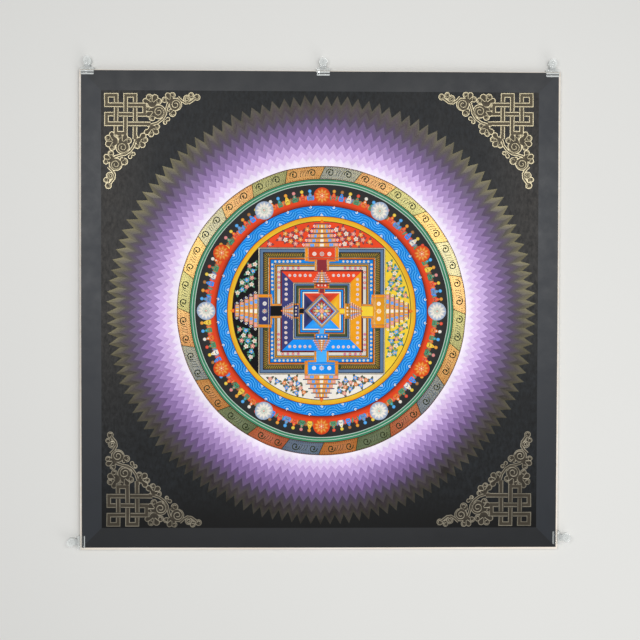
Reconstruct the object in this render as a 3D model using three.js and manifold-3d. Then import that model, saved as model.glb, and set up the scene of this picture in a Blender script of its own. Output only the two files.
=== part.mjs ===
// A square painting on cotton canvas, held by small clear clips on a thin plywood board.
// It lies on its back: +Z is where the painted face looks, +Y is the top of the painting.
// Millimetres. The origin lies on the surface below, under the middle of the whole outline.

import * as THREE from 'three';
import { mergeVertices } from 'three/addons/utils/BufferGeometryUtils.js';
import Module from 'manifold-3d';

const wasm = await Module();
wasm.setup();

// Driving dimensions

const gap = 0.3; // between pieces that lie on each other

const canvas = {
  side: 600,
  thickness: 1,
  bowPerSpan: 0.0028, // how far a free edge stands off the board, for each millimetre between clips
  bowReach: 80, // how far in from the edge that bow dies away
};

const board = {
  thickness: 4,
  sideMargin: 2.5, // what shows of the board beside the canvas
  topMargin: 1,
  bottomMargin: 3,
};

const clip = {
  plate: 2, // wall of each moulded half
  jawWidth: 16.5,
  jawReach: 6.5, // how far the jaw goes in over the board's edge
  shoulder: 3, // where the wide jaw ends, beyond the board's edge
  neckWidth: 7.3,
  headRadius: 5.25,
  headMiddle: 10.8, // beyond the board's edge
  dimpleRadius: 1.2, // in the outer face of each round head
  dimpleDepth: 0.7,
  cornerRadius: 1.2,
  ribHeight: 0.7, // the finger rib along the front jaw
  ribWidth: 1.4,
  handleRise: 18, // degrees that the front handle stands up
  hingeStart: 2.1, // the two half bearings, beyond the board's edge
  hingeEnd: 6.3,
};

const spring = { radius: 1.5, length: 9 };
const roundSides = 16;

// Where each clip grips: how far along its edge, and which way its handle points
const clipPlaces = [
  { name: 'clip_top_left', edge: 'top', along: -292 },
  { name: 'clip_top_middle', edge: 'top', along: 3 },
  { name: 'clip_top_right', edge: 'top', along: 292 },
  { name: 'clip_lower_left', edge: 'left', along: -293 },
  { name: 'clip_lower_right', edge: 'right', along: -288 },
];

// Heights of the stack, from the surface up

const boardBottom = clip.plate + gap;
const boardTop = boardBottom + board.thickness;
const canvasBottom = boardTop + gap;
const canvasTop = canvasBottom + canvas.thickness;
const jawBottom = canvasTop + gap;
const jawTop = jawBottom + clip.plate;
const hingeHeight = (clip.plate + jawBottom) / 2;

// Distances beyond the board's edge

const hingeMiddle = (clip.hingeStart + clip.hingeEnd) / 2;
const handleEnd = clip.headMiddle + clip.headRadius;

// The board's outline about the middle of the canvas

const half = canvas.side / 2;
const boardEdges = {
  left: -half - board.sideMargin,
  right: half + board.sideMargin,
  top: half + board.topMargin,
  bottom: -half - board.bottomMargin,
};
const outlineMiddleY = (boardEdges.top + handleEnd + boardEdges.bottom) / 2;

const materials = {
  canvas: new THREE.MeshStandardMaterial({ color: '#2c2c2f', roughness: 0.75, metalness: 0 }),
  plywood: new THREE.MeshStandardMaterial({ color: '#d8bfa0', roughness: 0.7, metalness: 0 }),
  clear: new THREE.MeshStandardMaterial({ color: '#e9eeee', roughness: 0.1, metalness: 0 }),
  steel: new THREE.MeshStandardMaterial({ color: '#a9aaac', roughness: 0.35, metalness: 1 }),
};

function namedMesh(name, geometry, material) {
  const mesh = new THREE.Mesh(geometry, material);
  mesh.name = name;
  return mesh;
}

function toSolid(geometry) {
  const bare = geometry.clone();
  bare.deleteAttribute('normal');
  bare.deleteAttribute('uv');
  const merged = mergeVertices(bare, 1e-4);
  return new wasm.Manifold(new wasm.Mesh({
    numProp: 3,
    vertProperties: Float32Array.from(merged.attributes.position.array),
    triVerts: Uint32Array.from(merged.index.array),
  }));
}

function toGeometry(solid) {
  const found = solid.getMesh();
  const geometry = new THREE.BufferGeometry();
  geometry.setAttribute('position', new THREE.BufferAttribute(found.vertProperties, 3));
  geometry.setIndex(new THREE.BufferAttribute(found.triVerts, 1));
  geometry.computeVertexNormals();
  return geometry;
}

// The canvas: one flat sheet whose free edges stand a little off the board between the clips

// Each free stretch of edge runs from the end of one jaw to the start of the next.
function freeStretches() {
  const jaw = clip.jawWidth / 2;
  const held = (edge) => clipPlaces.filter((place) => place.edge === edge).map((place) => place.along);
  const [topLeft, topMiddle, topRight] = held('top');
  const [lowerLeft] = held('left');
  const [lowerRight] = held('right');
  return [
    { edge: 'top', from: topLeft + jaw, to: topMiddle - jaw },
    { edge: 'top', from: topMiddle + jaw, to: topRight - jaw },
    { edge: 'left', from: lowerLeft + jaw, to: half },
    { edge: 'right', from: lowerRight + jaw, to: half },
    { edge: 'bottom', from: -half, to: half },
  ];
}

const stretches = freeStretches();

function inwardDistance(edge, x, y) {
  const distances = { top: half - y, bottom: half + y, left: half + x, right: half - x };
  return distances[edge];
}

// Height of the sheet above its flat state at a point of the canvas
function bow(x, y) {
  let lift = 0;
  for (const { edge, from, to } of stretches) {
    const along = edge === 'top' || edge === 'bottom' ? x : y;
    const share = (along - from) / (to - from);
    const inward = inwardDistance(edge, x, y) / canvas.bowReach;
    if (share > 0 && share < 1 && inward < 1) {
      const fade = (1 - inward) ** 2 * (1 + 2 * inward);
      lift += canvas.bowPerSpan * (to - from) * Math.sin(Math.PI * share) ** 2 * fade;
    }
  }
  return lift;
}

// Even steps from one value towards another, without that last value
function steps(from, to, count) {
  return Array.from({ length: count }, (_, i) => from + ((to - from) * i) / count);
}

// Grid lines across the sheet, closer together in the rim that bows
function gridLines(rimSteps, middleSteps) {
  const flatHalf = half - canvas.bowReach;
  return [
    ...steps(-half, -flatHalf, rimSteps),
    ...steps(-flatHalf, flatHalf, middleSteps),
    ...steps(flatHalf, half, rimSteps),
    half,
  ];
}

function canvasSheet() {
  const lines = gridLines(5, 12);
  const count = lines.length;
  const positions = [canvasBottom, canvasTop].flatMap((base) => (
    lines.flatMap((y) => lines.flatMap((x) => [x, y, base + bow(x, y)]))
  ));
  const point = (layer, row, column) => layer * count * count + row * count + column;
  const triangles = [];
  const quad = (a, b, c, d) => triangles.push(a, b, c, a, c, d);
  const last = count - 1;
  for (let i = 0; i < last; i += 1) {
    for (let j = 0; j < last; j += 1) {
      quad(point(1, i, j), point(1, i, j + 1), point(1, i + 1, j + 1), point(1, i + 1, j));
      quad(point(0, i, j), point(0, i + 1, j), point(0, i + 1, j + 1), point(0, i, j + 1));
    }
    quad(point(0, 0, i), point(0, 0, i + 1), point(1, 0, i + 1), point(1, 0, i));
    quad(point(0, last, i + 1), point(0, last, i), point(1, last, i), point(1, last, i + 1));
    quad(point(0, i + 1, 0), point(0, i, 0), point(1, i, 0), point(1, i + 1, 0));
    quad(point(0, i, last), point(0, i + 1, last), point(1, i + 1, last), point(1, i, last));
  }
  const geometry = new THREE.BufferGeometry();
  geometry.setAttribute('position', new THREE.Float32BufferAttribute(positions, 3));
  geometry.setIndex(triangles);
  geometry.computeVertexNormals();
  return namedMesh('canvas', geometry, materials.canvas);
}

// The board

function backingBoard() {
  const width = boardEdges.right - boardEdges.left;
  const height = boardEdges.top - boardEdges.bottom;
  const mesh = namedMesh('board', new THREE.BoxGeometry(width, height, board.thickness), materials.plywood);
  mesh.position.set(
    (boardEdges.left + boardEdges.right) / 2,
    (boardEdges.top + boardEdges.bottom) / 2,
    boardBottom + board.thickness / 2,
  );
  return mesh;
}

// A clip. In its own frame +Y points out along the handle from the board's edge and X runs along that edge.

// Seen from the front: a wide jaw, a narrow neck and a round head
function clipOutline() {
  const jaw = clip.jawWidth / 2;
  const neck = clip.neckWidth / 2;
  const round = clip.cornerRadius;
  const tip = -clip.jawReach;
  const neckAngle = Math.asin(neck / clip.headRadius);
  const shape = new THREE.Shape();
  shape.moveTo(-jaw + round, tip);
  shape.lineTo(jaw - round, tip);
  shape.absarc(jaw - round, tip + round, round, -Math.PI / 2, 0);
  shape.lineTo(jaw, clip.shoulder - round);
  shape.absarc(jaw - round, clip.shoulder - round, round, 0, Math.PI / 2);
  shape.lineTo(neck, clip.shoulder);
  shape.absarc(0, clip.headMiddle, clip.headRadius, -Math.PI / 2 + neckAngle, Math.PI * 1.5 - neckAngle);
  shape.lineTo(-neck, clip.shoulder);
  shape.lineTo(-jaw + round, clip.shoulder);
  shape.absarc(-jaw + round, clip.shoulder - round, round, Math.PI / 2, Math.PI);
  shape.lineTo(-jaw, tip + round);
  shape.absarc(-jaw + round, tip + round, round, Math.PI, Math.PI * 1.5);
  return shape;
}

// Seen from the side, as points of (distance beyond the board's edge, height)
function backProfile() {
  const bearingTop = hingeHeight - gap / 2;
  return [
    [-clip.jawReach, 0],
    [handleEnd, 0],
    [handleEnd, clip.plate],
    [clip.hingeEnd, clip.plate],
    [clip.hingeEnd, bearingTop],
    [clip.hingeStart, bearingTop],
    [clip.hingeStart, clip.plate],
    [-clip.jawReach, clip.plate],
  ];
}

// How far the front handle has risen at a distance beyond the board's edge
function handleLift(beyond) {
  return (beyond - clip.hingeEnd) * Math.tan(THREE.MathUtils.degToRad(clip.handleRise));
}

function frontProfile() {
  const bearingBottom = hingeHeight + gap / 2;
  const ribStart = -clip.jawReach + clip.ribWidth;
  const ribEnd = ribStart + clip.ribWidth;
  return [
    [-clip.jawReach, jawBottom],
    [clip.hingeStart, jawBottom],
    [clip.hingeStart, bearingBottom],
    [clip.hingeEnd, bearingBottom],
    [clip.hingeEnd, jawBottom],
    [handleEnd, jawBottom + handleLift(handleEnd)],
    [handleEnd, jawTop + handleLift(handleEnd)],
    [clip.hingeEnd, jawTop],
    [ribEnd, jawTop],
    [ribEnd, jawTop + clip.ribHeight],
    [ribStart, jawTop + clip.ribHeight],
    [ribStart, jawTop],
    [-clip.jawReach, jawTop - clip.plate / 3],
  ];
}

// Turns a side view that was drawn in X and Y, and given its width along Z, into the clip's frame
const fromSideView = new THREE.Matrix4().makeBasis(
  new THREE.Vector3(0, 1, 0),
  new THREE.Vector3(0, 0, 1),
  new THREE.Vector3(1, 0, 0),
);

// A round bar along the hinge: the coiled spring itself, or the room it needs
function hingeBar(radius, length) {
  const bar = new THREE.CylinderGeometry(radius, radius, length, roundSides);
  bar.rotateZ(Math.PI / 2);
  bar.translate(0, hingeMiddle, hingeHeight);
  return bar;
}

// An upright bar that cuts the dimple of a head, from the dimple's floor to clear of the head
function dimpleBar(floor, end) {
  const bar = new THREE.CylinderGeometry(clip.dimpleRadius, clip.dimpleRadius, Math.abs(end - floor), roundSides);
  bar.rotateX(Math.PI / 2);
  bar.translate(0, clip.headMiddle, (floor + end) / 2);
  return bar;
}

function clipHalf(profile, dimple) {
  const tall = 4 * clip.jawWidth;
  const side = new THREE.ExtrudeGeometry(
    new THREE.Shape(profile.map(([beyond, height]) => new THREE.Vector2(beyond, height))),
    { depth: 2 * clip.jawWidth, bevelEnabled: false },
  );
  side.translate(0, 0, -clip.jawWidth);
  side.applyMatrix4(fromSideView);
  const plan = new THREE.ExtrudeGeometry(clipOutline(), { depth: tall, bevelEnabled: false, curveSegments: 8 });
  plan.translate(0, 0, -tall / 2);
  const hingeRoom = hingeBar(spring.radius + gap, 2 * clip.jawWidth);
  const blank = toSolid(side).intersect(toSolid(plan));
  return toGeometry(blank.subtract(toSolid(hingeRoom)).subtract(toSolid(dimple)));
}

const headTop = jawTop + handleLift(clip.headMiddle);
const backHalf = clipHalf(backProfile(), dimpleBar(clip.dimpleDepth, -clip.plate));
const frontHalf = clipHalf(frontProfile(), dimpleBar(headTop - clip.dimpleDepth, headTop + clip.plate));
const coiledSpring = hingeBar(spring.radius, spring.length);

function placedClip({ name, edge, along }) {
  const group = new THREE.Group();
  group.add(namedMesh(`${name}_back`, backHalf, materials.clear));
  group.add(namedMesh(`${name}_front`, frontHalf, materials.clear));
  group.add(namedMesh(`${name}_spring`, coiledSpring, materials.steel));
  const turns = { top: 0, left: Math.PI / 2, right: -Math.PI / 2 };
  group.rotation.z = turns[edge];
  const place = edge === 'top' ? [along, boardEdges.top] : [boardEdges[edge], along];
  group.position.set(...place, 0);
  return group;
}

const painting = new THREE.Group();
painting.add(backingBoard());
painting.add(canvasSheet());
painting.add(...clipPlaces.map(placedClip));
painting.position.y = -outlineMiddleY;

export default painting;
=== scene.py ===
"""A square mandala painting on cotton canvas, held by small clear clips on a thin plywood board, face up.

The picture is drawn in millimetres about the middle of the painting, as a painter sets it out with rule and
compasses: +X to the right, +Y to the top. A mesh that reaches the scene is in metres, in the frame's axes.
"""

import functools
import math
import random

import bmesh
import bpy
from mathutils import Matrix, Vector, noise


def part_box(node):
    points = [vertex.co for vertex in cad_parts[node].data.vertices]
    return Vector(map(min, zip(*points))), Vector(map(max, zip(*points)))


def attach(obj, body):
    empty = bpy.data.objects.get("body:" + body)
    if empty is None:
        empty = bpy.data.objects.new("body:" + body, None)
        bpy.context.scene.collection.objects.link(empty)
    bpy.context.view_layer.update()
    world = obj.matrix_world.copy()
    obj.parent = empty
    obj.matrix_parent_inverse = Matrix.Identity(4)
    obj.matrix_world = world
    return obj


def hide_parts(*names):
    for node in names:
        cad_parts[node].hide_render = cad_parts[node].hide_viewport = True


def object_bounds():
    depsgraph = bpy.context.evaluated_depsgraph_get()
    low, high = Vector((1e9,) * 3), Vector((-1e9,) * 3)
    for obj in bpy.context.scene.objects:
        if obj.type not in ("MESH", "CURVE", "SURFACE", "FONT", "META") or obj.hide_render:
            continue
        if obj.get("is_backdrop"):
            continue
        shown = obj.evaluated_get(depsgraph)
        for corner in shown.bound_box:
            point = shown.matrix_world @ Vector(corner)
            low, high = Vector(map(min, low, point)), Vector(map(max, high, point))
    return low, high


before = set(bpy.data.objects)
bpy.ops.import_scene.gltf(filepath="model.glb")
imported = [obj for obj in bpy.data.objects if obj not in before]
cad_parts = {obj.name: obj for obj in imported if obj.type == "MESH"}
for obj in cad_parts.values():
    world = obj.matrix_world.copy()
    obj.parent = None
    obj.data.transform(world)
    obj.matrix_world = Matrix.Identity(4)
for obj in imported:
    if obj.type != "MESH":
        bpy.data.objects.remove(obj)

CAD_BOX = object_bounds()

bl_info = {
    "name": "Mandala painting",
    "version": (1, 0, 0),
    "blender": (4, 5, 0),
    "location": "3D View > Sidebar > Painting",
    "description": "Builds a mandala painting on canvas, its board and its clips around the packed frame",
    "category": "Object",
}

MM = 0.001
TINY = 1e-6
BODY = "root"
CANVAS_LOW, CANVAS_HIGH = (Vector(corner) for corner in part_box("canvas"))
MIDDLE = (CANVAS_LOW + CANVAS_HIGH) / 2
HALF_SIDE = (CANVAS_HIGH.x - CANVAS_LOW.x) / 2 / MM
CLIP_NAMES = ("clip_top_left", "clip_top_middle", "clip_top_right", "clip_lower_left", "clip_lower_right")


# Settings

def linear(hex_code):
    """An sRGB hex colour as linear red, green and blue."""
    parts = [int(hex_code[i:i + 2], 16) / 255 for i in (1, 3, 5)]
    return tuple(c / 12.92 if c <= 0.04045 else ((c + 0.055) / 1.055) ** 2.4 for c in parts)


def number(name, default, description):
    """A setting that is a plain number."""
    return bpy.props.FloatProperty(name=name, description=description, default=default)


def length(name, millimetres, description):
    """A length setting, written in millimetres and kept in metres."""
    return bpy.props.FloatProperty(
        name=name, description=description, default=millimetres * MM, min=0.0, unit="LENGTH", precision=4)


def pigment(name, hex_code, description):
    """A colour setting, written as an sRGB hex value."""
    return bpy.props.FloatVectorProperty(
        name=name, description=description, default=linear(hex_code), min=0.0, max=1.0, subtype="COLOR")


class ClothSettings(bpy.types.PropertyGroup):
    """The canvas as a piece of cloth"""
    thickness: length("Thickness", 1.0, "Cotton with its ground and paint")
    border: length("Border", 25.0, "Width of the plain painted border")
    bow_reach: length("Bow reach", 80.0, "How far in from a free edge the cloth stands off the board")
    bow_per_span: number("Bow", 0.0028, "Rise of a free edge for each unit of length between two clips")
    wrinkle: length("Wrinkle", 0.1, "Height of the soft unevenness along the border")
    thread: length("Thread spacing", 0.9, "Distance between threads of the weave")
    cell: length("Cell", 5.0, "Grid of the modelled sheet")


class LayoutSettings(bpy.types.PropertyGroup):
    """Where the parts of the picture lie, as radii from its middle unless said otherwise"""
    right: length("To the right", 1.9, "How far the round picture's middle lies right of the canvas's")
    down: length("Down", 0.8, "How far the round picture's middle lies below the canvas's")
    halo_tip: length("Halo", 270.4, "Tips of the outermost row of rays")
    disc: length("Disc", 182.0, "Outer edge of the round picture")
    scrolls: length("Scroll band", 166.2, "Inner edge of the band of scrolls")
    green: length("Green ring", 159.2, "Inner edge of the green ring")
    night: length("Dark ring", 146.0, "Inner edge of the dark ring")
    coral: length("Coral ring", 132.7, "Inner edge of the red ring")
    water: length("Water ring", 119.0, "Inner edge of the ring of waves")
    garden: length("Garden", 112.5, "Edge of the garden, inside the yellow ring")
    palace: length("Palace", 79.5, "Half the side of the square palace")
    court: length("Court", 50.0, "Half the side of the court inside the palace")
    wobble: length("Wobble", 0.45, "How far a line drawn by hand strays")
    coat: length("Coat", 0.05, "Height of one coat of paint over the last")


class PigmentSettings(bpy.types.PropertyGroup):
    """The colours on the painter's table"""
    slate: pigment("Slate", "#1d2229", "Plain border")
    charcoal: pigment("Charcoal", "#131619", "Dark field")
    # Painted sheen: the colour the dark field is lightened towards up its sides
    painted_sheen: pigment("Soot with painted sheen", "#292725", "Dark field where it is rubbed")
    night: pigment("Night", "#0e0e10", "Dark ring, quarter and outlines")
    chalk: pigment("Chalk", "#f6f0e4", "White")
    lemon: pigment("Lemon", "#f7d33a", "Bright yellow")
    amber: pigment("Amber", "#f3a31c", "Gold yellow")
    orange: pigment("Orange", "#ee7a14", "Orange")
    coral: pigment("Coral", "#f04a22", "Vermilion")
    wine: pigment("Wine", "#8f2f36", "Dark red")
    rose: pigment("Rose", "#e98f8c", "Pink")
    azure: pigment("Azure", "#1296fc", "Bright blue")
    sky: pigment("Sky", "#4ab2fb", "Light blue")
    indigo: pigment("Indigo", "#3b3f78", "Violet blue")
    steel: pigment("Steel", "#6f90b8", "Grey blue")
    leaf: pigment("Leaf", "#3f9069", "Green")
    moss: pigment("Moss", "#54603a", "Dark green")
    sage: pigment("Sage", "#868c4c", "Pale grey green")
    ochre: pigment("Ochre", "#b27429", "Yellow earth")
    saffron: pigment("Saffron", "#b75208", "Orange under gold powder")
    pine: pigment("Pine", "#184f42", "Green under gold powder")
    madder: pigment("Madder", "#b01212", "Red under gold powder")
    smalt: pigment("Smalt", "#1a5289", "Blue under gold powder")
    bronze: pigment("Bronze", "#4b4333", "Dull ground under the gold corner lines")
    gold: pigment("Gold", "#9d947a", "Gold paint")


class FittingSettings(bpy.types.PropertyGroup):
    """The board and the clips"""
    ply: length("Ply", 0.8, "Thickness of one sheet of veneer in the board")
    board_ease: length("Board edge", 0.5, "Rounding of the board's edges")
    clip_ease: length("Clip edge", 0.5, "Rounding of the clips' moulded edges")
    wire: length("Spring wire", 0.6, "Diameter of the wire in a clip's spring")
    turns: number("Spring turns", 9.0, "Turns of wire in a clip's spring")
    birch: pigment("Birch", "#f8f2ea", "Face of the board")
    birch_end: pigment("Birch end", "#dcc6a8", "End grain between the veneers")
    clear: pigment("Clear plastic", "#f4f8f7", "Tint of the clips")
    wire_steel: pigment("Steel wire", "#b9babd", "Spring wire")


class StageSettings(bpy.types.PropertyGroup):
    """Floor, lights and camera"""
    floor: pigment("Floor", "#e8e8e5", "Plain pale floor")
    lens: number("Lens", 70.0, "Focal length on a 36 mm frame")
    height: length("Camera height", 1568.2, "Camera above the painted face")
    lamp_power: number("Lamps", 8.2, "Power in watts of each of the two lamps over the painting")
    fill_power: number("Fill", 17.0, "Power in watts of the wide light beyond the painting's foot")
    sky_strength: number("Sky", 0.3, "Strength of the even light")


GROUPS = {
    "painting_cloth": ClothSettings,
    "painting_layout": LayoutSettings,
    "painting_pigments": PigmentSettings,
    "painting_fittings": FittingSettings,
    "painting_stage": StageSettings,
}


def settings(group):
    return getattr(bpy.context.scene, f"painting_{group}")


def size(name, group="layout"):
    """A length setting in millimetres."""
    return getattr(settings(group), name) / MM


def sizes(*names):
    """Some of the layout's lengths in millimetres."""
    return [size(name) for name in names]


def colour(name, light=1.0):
    """A pigment, darkened below or lightened with white above 1."""
    mixed = tuple(getattr(settings("pigments"), name))
    if light <= 1.0:
        return tuple(c * light for c in mixed)
    return tuple(c + (1.0 - c) * (light - 1.0) for c in mixed)


def shades(name, first, second):
    """A pigment in two lights, as for the rim of a shape and its heart."""
    return colour(name, first), colour(name, second)


# Node trees

def feed(tree, node, inputs):
    """Gives a node its inputs, each a value or the output of another node."""
    for socket, value in inputs.items():
        if isinstance(value, bpy.types.NodeSocket):
            tree.links.new(value, node.inputs[socket])
        else:
            node.inputs[socket].default_value = value


def add_node(tree, kind, inputs=None, give=0, **options):
    """Adds a node with its options and inputs, and returns one of its outputs."""
    node = tree.nodes.new(kind)
    for option, value in options.items():
        setattr(node, option, value)
    feed(tree, node, inputs or {})
    return node.outputs[give]


def calc(tree, operation, *terms, kind="ShaderNodeMath"):
    """A step of arithmetic on values and outputs."""
    return add_node(tree, kind, dict(enumerate(terms)), operation=operation)


# Materials

def opaque(tone):
    """A colour for a socket, from an sRGB hex value or a setting."""
    return (*(linear(tone) if isinstance(tone, str) else tone), 1.0)


class Surface:
    """A material in the making, with the textures that the materials share."""

    def __init__(self, name):
        self.made = bpy.data.materials.new(name)
        self.made.use_nodes = True
        self.tree = self.made.node_tree
        self.place = add_node(self.tree, "ShaderNodeTexCoord", give="Object")

    def noise(self, grain, detail, squeeze=(1.0, 1.0, 1.0), **values):
        """A cloudy noise with a grain of so many millimetres, longer along an axis that is squeezed."""
        place = add_node(self.tree, "ShaderNodeMapping", {"Vector": self.place, "Scale": squeeze})
        values = {"Vector": place, "Scale": 1 / (grain * MM), "Detail": detail, **values}
        return add_node(self.tree, "ShaderNodeTexNoise", values, "Fac")

    def spread(self, value, low, high, least, most):
        """Maps the range from low to high onto the range from least to most."""
        values = {"Value": value, "From Min": low, "From Max": high, "To Min": least, "To Max": most}
        return add_node(self.tree, "ShaderNodeMapRange", values)

    def mix(self, factor, first, second):
        values = {"Factor": factor, "A": first, "B": second}
        return add_node(self.tree, "ShaderNodeMix", values, "Result", data_type="RGBA")

    def calc(self, operation, *terms):
        return calc(self.tree, operation, *terms)

    def weave(self):
        """Height of a plain weave, over and under by turns. Two threads make one repeat."""
        values = {"Vector": self.place, "Scale": math.pi / 10 / (2 * settings("cloth").thread),
                  "Distortion": 0.6, "Detail": 1.0, "Detail Scale": 0.4}
        threads = []
        for axis in "XY":
            wave = add_node(self.tree, "ShaderNodeTexWave", values, "Fac", bands_direction=axis)
            threads.append(self.calc("SUBTRACT", wave, 0.5))
        return self.calc("MULTIPLY", *threads)

    def bump(self, height, strength, deep):
        """Relief of so many millimetres."""
        values = {"Height": height, "Strength": strength, "Distance": deep * MM}
        return add_node(self.tree, "ShaderNodeBump", values)

    def done(self, inputs):
        """Sets the inputs of the surface's shader and gives the material."""
        feed(self.tree, self.tree.nodes["Principled BSDF"], inputs)
        return self.made


def pigment_on_cotton(name="mineral pigment on primed cotton", gloss=0.5, rough=(0.4, 0.52),
                      patchy=(0.9, 1.08), streaky=None, **inputs):
    """Mineral colour bound with glue on primed cotton, burnished flat: matt to satin, a little cloudy from
    the brush, with the thread of the cloth just showing through."""
    made = Surface(name)
    cloud = made.noise(22, 5.0, Roughness=0.62)
    speck = made.noise(1.6, 2.0)
    grain = made.spread(speck, 0.2, 0.8, 0.94, 1.06)
    light = made.calc("MULTIPLY", made.spread(cloud, 0.3, 0.7, *patchy), grain)
    if streaky:
        # The brush's streaks are finer than this, and are drawn coarser so that they show
        streak = made.noise(4, 4.0, (1.0, 0.5, 1.0), Roughness=0.7)
        light = made.calc("MULTIPLY", light, made.spread(streak, 0.36, 0.64, *streaky))
    paint = add_node(made.tree, "ShaderNodeAttribute", give="Color", attribute_name="paint")
    shaded = add_node(made.tree, "ShaderNodeVectorMath", {0: paint, "Scale": light}, operation="SCALE")
    relief = made.calc("MULTIPLY_ADD", speck, 0.15, made.weave())
    return made.done({
        "Base Color": shaded,
        "Roughness": made.spread(cloud, 0.25, 0.75, *rough),
        "Specular IOR Level": gloss,
        "Normal": made.bump(relief, 0.35, 0.12),
        **inputs,
    })


def soot_black():
    """The dark field: soot in thin glue, drier and more matt than the colours, with brush streaks that show
    most where painted sheen lightens it.
    """
    return pigment_on_cotton("soot black on primed cotton", 0.25, patchy=(0.7, 1.35), streaky=(0.35, 1.65))


def matt_pigment():
    """The round picture: the same colours laid thick and left unburnished, so that they stay deep."""
    return pigment_on_cotton("matt mineral pigment on primed cotton", 0.08)


def gilded_pigment():
    """The halo's second row and the corners' ribbons: dull paint with gold powder stirred in."""
    return pigment_on_cotton("pigment with gold powder", Metallic=0.55)


def glazed_gold(name="colour glazed over gold powder", rough=(0.34, 0.44)):
    """The halo's outermost row: thin colour glazed over powdered gold."""
    return pigment_on_cotton(name, rough=rough, patchy=(0.72, 1.3), Metallic=1.0)


def gold_paint():
    """Powdered gold in glue, laid on with a fine brush: smoother than the glaze, dull where it is thin."""
    return glazed_gold("brushed-on gold paint", (0.32, 0.43))


def gold_dusted():
    """The band of scrolls: deep colour with gold powder brushed over it, which shines gold."""
    return pigment_on_cotton("pigment under gold powder", rough=(0.22, 0.3), IOR=2.45,
                             **{"Specular Tint": opaque("#ffec95")})


def raw_cotton():
    """The bare back and cut edge of the canvas: cream cotton with a thin wash of ground."""
    made = Surface("raw cotton canvas")
    return made.done({
        "Base Color": made.mix(made.noise(4, 3.0), opaque("#cfc4ae"), opaque("#e9e1d1")),
        "Roughness": 0.85,
        "Normal": made.bump(made.weave(), 0.6, 0.25),
    })


def birch_plywood():
    """Rotary-cut birch veneers glued crosswise and sanded: pale, fine long grain, striped at the edges."""
    made = Surface("sanded birch plywood")
    fittings = settings("fittings")
    grain = made.noise(5, 6.0, (5 / 90, 1.0, 1.0), Roughness=0.65, Distortion=0.4)
    face = made.mix(made.spread(grain, 0.35, 0.65, 0.0, 1.0), opaque(fittings.birch), opaque("#f1e6d8"))
    height = add_node(made.tree, "ShaderNodeSeparateXYZ", {0: made.place}, "Z")
    depth = made.calc("SUBTRACT", height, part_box("board")[0][2])
    pair = made.calc("FLOORED_MODULO", depth, 2 * fittings.ply)
    crosswise = made.calc("GREATER_THAN", pair, fittings.ply)
    return made.done({
        "Base Color": made.mix(crosswise, face, opaque(fittings.birch_end)),
        "Roughness": 0.6,
        "Normal": made.bump(grain, 0.2, 0.1),
    })


def clear_polystyrene(name="clear moulded polystyrene", alpha=0.2, through=0.85, tint=None):
    """Injection-moulded clear polystyrene: thin, pale and glossy, with a faint ripple where the melt flowed.
    Most of it is clear by alpha, so that light reaches what the clip holds."""
    made = Surface(name)
    return made.done({
        "Base Color": opaque(tint or settings("fittings").clear),
        "Alpha": alpha,
        "Transmission Weight": through,
        "Roughness": 0.05,
        "IOR": 1.59,
        "Normal": made.bump(made.noise(3, 2.0), 0.15, 0.2),
    })


def grip_highlight_polystyrene():
    """The plastic of the grips, made milkier than the clear plastic as painted highlight on the ribbed faces
    they turn to the light.
    """
    return clear_polystyrene("ribbed moulded polystyrene", 0.32, 0.05)


def thick_highlight_polystyrene():
    """The plastic where the mould makes it thick, in the lip and the rib of a jaw, made milky as painted
    highlight where it catches the light.
    """
    return clear_polystyrene("thick moulded polystyrene", 0.62, 0.05)


def edge_shade_polystyrene():
    """The rounded edges of the plastic, coloured grey as painted shade for how clear plastic darkens seen
    edge on.
    """
    return clear_polystyrene("edge of moulded polystyrene", 0.75, 0.05, "#8a9090")


def drawn_wire():
    """Bright drawn spring steel with fine lines along the wire."""
    made = Surface("drawn spring steel")
    return made.done({
        "Base Color": opaque(settings("fittings").wire_steel),
        "Metallic": 1.0,
        "Roughness": made.spread(made.noise(0.4, 2.0), 0.0, 1.0, 0.22, 0.38),
    })


def pale_floor():
    """Matt pale studio floor."""
    made = Surface("pale matt floor")
    base = settings("stage").floor
    tint = made.mix(made.noise(400, 3.0), opaque([c * 0.97 for c in base]), opaque(base))
    return made.done({"Base Color": tint, "Roughness": 0.8})


MATERIALS = {
    "pigment": pigment_on_cotton, "soot": soot_black, "matt": matt_pigment, "gilded": gilded_pigment,
    "glazed": glazed_gold, "gold": gold_paint, "dusted": gold_dusted, "cotton": raw_cotton,
    "plywood": birch_plywood, "clear": clear_polystyrene, "grip_highlight": grip_highlight_polystyrene,
    "thick": thick_highlight_polystyrene, "edge": edge_shade_polystyrene, "wire": drawn_wire, "floor": pale_floor,
}


@functools.cache
def material(name):
    """A material by its short name, made once."""
    return MATERIALS[name]()


# Geometry Nodes

def new_tree(name, **inputs):
    """A Geometry Nodes tree with named inputs, each given by its kind of socket, and one geometry output."""
    tree = bpy.data.node_groups.new(name, "GeometryNodeTree")
    tree.interface.new_socket(name="Geometry", in_out="OUTPUT", socket_type="NodeSocketGeometry")
    for label, kind in inputs.items():
        tree.interface.new_socket(name=label, in_out="INPUT", socket_type=f"NodeSocket{kind}")
    return tree, tree.nodes.new("NodeGroupInput").outputs


def end_tree(tree, geometry, paint):
    """Ends a tree as every tree here ends: instances made real and the material set."""
    real = add_node(tree, "GeometryNodeRealizeInstances", {0: geometry})
    done = add_node(tree, "GeometryNodeSetMaterial", {"Geometry": real, "Material": paint})
    tree.links.new(done, tree.nodes.new("NodeGroupOutput").inputs[0])
    return tree


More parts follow.
